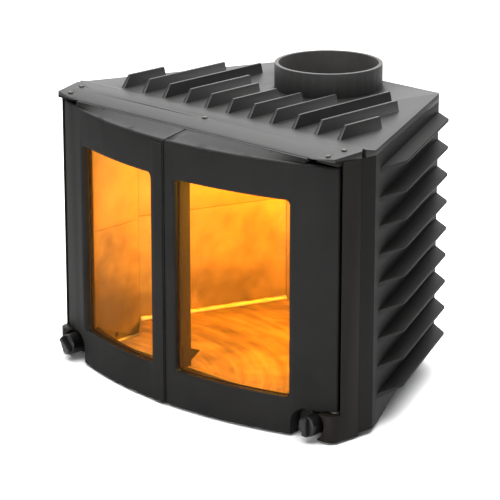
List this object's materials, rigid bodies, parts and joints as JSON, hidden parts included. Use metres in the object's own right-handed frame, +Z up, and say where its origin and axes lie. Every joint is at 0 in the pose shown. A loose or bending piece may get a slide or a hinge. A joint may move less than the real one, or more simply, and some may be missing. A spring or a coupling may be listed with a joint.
{
  "type": "fireplace insert",
  "caption": "Cast-iron fireplace insert with a bowed pair of glazed doors, finned tapering firebox, brick lining, turning air controls and a round flue collar on top.",
  "frame": {"origin": "Centre of the overall box on the surface the insert stands on, half-way across and half-way from front to back.", "axes": "+X across the front to the right-hand door as seen by someone facing the doors, +Y from the doors to the back, +Z up."},
  "size_m": [0.714, 0.524, 0.5575],
  "materials": {
    "body_iron": "matte heat-resistant paint",
    "door_iron": "matte heat-resistant paint",
    "collar_iron": "matte heat-resistant paint",
    "control_iron": "matte heat-resistant paint",
    "window_glass": "clear ceramic",
    "firebrick": "dry, slightly sooty",
    "hearth_brick": "dry, slightly sooty",
    "inner_steel": "heat-darkened",
    "fixing_steel": "satin",
    "seal_rope": "woven, dry"
  },
  "bodies": {
    "firebox": {"base_plate": "body_iron", "right_front_pillar": "body_iron", "left_front_pillar": "body_iron", "front_sill": "body_iron", "right_side_wall": "body_iron", "left_side_wall": "body_iron", "rear_wall": "body_iron", "lintel": "body_iron", "frame_rope": "seal_rope", "front_top_plate": "body_iron", "top_plate": "body_iron", "flue_collar": "collar_iron", "collar_screws": "fixing_steel", "right_hinge_bracket": "body_iron", "left_hinge_bracket": "body_iron", "bracket_screws": "fixing_steel", "centre_bolt": "fixing_steel", "right_lower_pin": "fixing_steel", "left_lower_pin": "fixing_steel", "right_hinge_washer": "fixing_steel", "left_hinge_washer": "fixing_steel", "hearth_plate": "hearth_brick", "ash_lip": "inner_steel", "right_lower_front_brick": "firebrick", "left_lower_front_brick": "firebrick", "right_upper_front_brick": "firebrick", "left_upper_front_brick": "firebrick", "right_lower_wall_brick": "firebrick", "left_lower_wall_brick": "firebrick", "right_upper_wall_brick": "firebrick", "left_upper_wall_brick": "firebrick", "lower_rear_brick": "firebrick", "upper_rear_brick": "firebrick", "smoke_baffle": "firebrick", "right_baffle_rail": "inner_steel", "left_baffle_rail": "inner_steel"},
    "right_door": {"right_leaf": "door_iron", "right_glass": "window_glass", "right_glass_seal": "seal_rope", "right_retainer": "inner_steel", "right_clips": "fixing_steel", "right_clip_screws": "fixing_steel", "right_catch_plate": "inner_steel"},
    "left_door": {"left_leaf": "door_iron", "left_glass": "window_glass", "left_glass_seal": "seal_rope", "left_retainer": "inner_steel", "left_clips": "fixing_steel", "left_clip_screws": "fixing_steel", "left_cover_strip": "door_iron"},
    "right_air_control": {"right_knob": "control_iron", "right_spindle": "fixing_steel", "right_damper_disc": "inner_steel", "right_spindle_nut": "fixing_steel"},
    "left_air_control": {"left_knob": "control_iron", "left_spindle": "fixing_steel", "left_damper_disc": "inner_steel", "left_spindle_nut": "fixing_steel"}
  },
  "joints": [
    {"name": "right_door_hinge", "type": "hinge", "parent": "firebox", "child": "right_door", "pos_m": [0.333, -0.17539, 0.25], "axis": [0, 0, 1], "range_deg": [0, 90]},
    {"name": "left_door_hinge", "type": "hinge", "parent": "firebox", "child": "left_door", "pos_m": [-0.333, -0.17539, 0.25], "axis": [0, 0, -1], "range_deg": [0, 90]},
    {"name": "right_air_turn", "type": "hinge", "parent": "firebox", "child": "right_air_control", "pos_m": [0.306, -0.19, 0.03], "axis": [0, 1, 0], "range_deg": [0, 90]},
    {"name": "left_air_turn", "type": "hinge", "parent": "firebox", "child": "left_air_control", "pos_m": [-0.306, -0.19, 0.03], "axis": [0, 1, 0], "range_deg": [-45, 45]}
  ]
}
